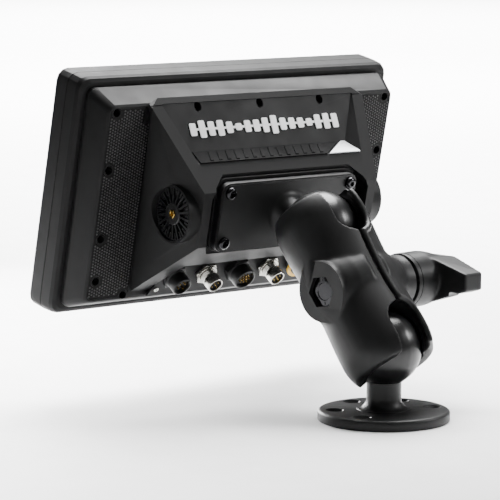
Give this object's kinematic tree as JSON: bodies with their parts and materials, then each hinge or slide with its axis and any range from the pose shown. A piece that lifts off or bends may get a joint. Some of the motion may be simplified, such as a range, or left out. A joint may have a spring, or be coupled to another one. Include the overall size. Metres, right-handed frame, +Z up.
{
  "type": "fish finder",
  "caption": "Dark sonar display with a faceted rear housing, rear connectors and side ratchet hubs, carried by a double-ball arm with a T-knob clamp on a round base plate.",
  "frame": {"origin": "centre of the round base plate's underside", "axes": "+Z up from the surface that the base is screwed to, the screen faces -Y, +X to the right of someone facing the screen, so the bolt head is on +X and the knob on -X"},
  "size_m": [0.318, 0.2822, 0.2634],
  "materials": {
    "case_plastic": "satin moulded, fine grain",
    "powder_coat": "fine-textured black powder coat on cast aluminium",
    "ball_rubber": "smooth moulded rubber, soft sheen",
    "soft_rubber": "matte",
    "screen_glass": "polished dark glass, screen switched off",
    "screen_panel": "dark",
    "fasteners": "black chrome",
    "nickel": "nickel plated",
    "brass": "turned",
    "circuit_board": "solder mask",
    "bare_aluminium": "mill finish",
    "ceramic": "ceramic patch",
    "reader_metal": "stamped",
    "emblem_white": "printed white",
    "accent_silver": "satin silver",
    "ring_yellow": "moulded",
    "knob_plastic": "satin moulded",
    "connector_plastic": "moulded"
  },
  "bodies": {
    "base": {"base_plate": "powder_coat"},
    "lower_ball": {"lower_ball": "ball_rubber"},
    "arm": {"arm_half_fixed": "powder_coat", "clamp_bolt": "fasteners", "arm_spring": "fasteners"},
    "jaw": {"arm_half_clamping": "powder_coat", "knob_washer": "fasteners"},
    "knob": {"knob": "knob_plastic"},
    "upper_ball": {"upper_ball": "ball_rubber"},
    "power_key": {"power_button": "soft_rubber"},
    "card_flap": {"card_door": "soft_rubber"},
    "head": {"accent_facet": "accent_silver", "adapter_plate": "powder_coat", "adapter_screw_1": "fasteners", "adapter_screw_2": "fasteners", "adapter_screw_3": "fasteners", "adapter_screw_4": "fasteners", "buzzer": "case_plastic", "card_reader": "reader_metal", "connector_panel": "case_plastic", "cover_glass": "screen_glass", "cover_screw_1": "fasteners", "cover_screw_10": "fasteners", "cover_screw_11": "fasteners", "cover_screw_12": "fasteners", "cover_screw_13": "fasteners", "cover_screw_2": "fasteners", "cover_screw_3": "fasteners", "cover_screw_4": "fasteners", "cover_screw_5": "fasteners", "cover_screw_6": "fasteners", "cover_screw_7": "fasteners", "cover_screw_8": "fasteners", "cover_screw_9": "fasteners", "front_bezel": "case_plastic", "gps_antenna": "ceramic", "grille_panel_left": "case_plastic", "grille_panel_right": "case_plastic", "heat_spreader": "bare_aluminium", "housing_seal": "soft_rubber", "hub_insert_left": "brass", "hub_insert_right": "brass", "lcd_module": "screen_panel", "main_board": "circuit_board", "mid_frame": "case_plastic", "mount_gasket": "soft_rubber", "network_connector_a": "nickel", "network_connector_b": "nickel", "panel_screw_1": "nickel", "panel_screw_2": "nickel", "power_connector": "connector_plastic", "ratchet_hub_left": "case_plastic", "ratchet_hub_right": "case_plastic", "rear_cover": "case_plastic", "rib_strip": "case_plastic", "sensor_connector": "connector_plastic", "sensor_ring": "ring_yellow", "sonar_board": "circuit_board", "title_emblem": "emblem_white", "transducer_connector": "connector_plastic"}
  },
  "joints": [
    {"name": "base_swivel", "type": "hinge", "parent": "base", "child": "lower_ball", "pos_m": [0, 0, 0.055], "axis": [0, 0, 1], "continuous": true},
    {"name": "arm_tilt", "type": "hinge", "parent": "lower_ball", "child": "arm", "pos_m": [0, 0, 0.055], "axis": [0.9971, 0.0767, 0], "range_deg": [-80, 15]},
    {"name": "head_tilt", "type": "hinge", "parent": "arm", "child": "upper_ball", "pos_m": [0.00516, -0.06705, 0.14015], "axis": [0.9971, 0.0767, 0], "range_deg": [-60, 27]},
    {"name": "head_roll", "type": "hinge", "parent": "upper_ball", "child": "head", "pos_m": [0.00516, -0.06705, 0.14015], "axis": [0, 0.977, -0.213], "continuous": true},
    {"name": "jaw_open", "type": "slide", "parent": "arm", "child": "jaw", "axis": [-0.9971, -0.0767, 0], "range_m": [0, 0.003]},
    {"name": "knob_turn", "type": "hinge", "parent": "jaw", "child": "knob", "pos_m": [0.00258, -0.03352, 0.09757], "axis": [-0.9971, -0.0767, 0], "range_deg": [0, 720]},
    {"name": "power_key_press", "type": "slide", "parent": "head", "child": "power_key", "axis": [0, 0.977, -0.213], "range_m": [0, 0.0008], "stiffness_N_per_m": 900},
    {"name": "card_flap_hinge", "type": "hinge", "parent": "head", "child": "card_flap", "pos_m": [0.15801, -0.21685, 0.14691], "axis": [0, 0.213, 0.977], "range_deg": [0, 100]}
  ],
  "couplings": [
    {"joint": "knob_turn", "follows": "jaw_open", "rad_per_m": 4188.8}
  ]
}
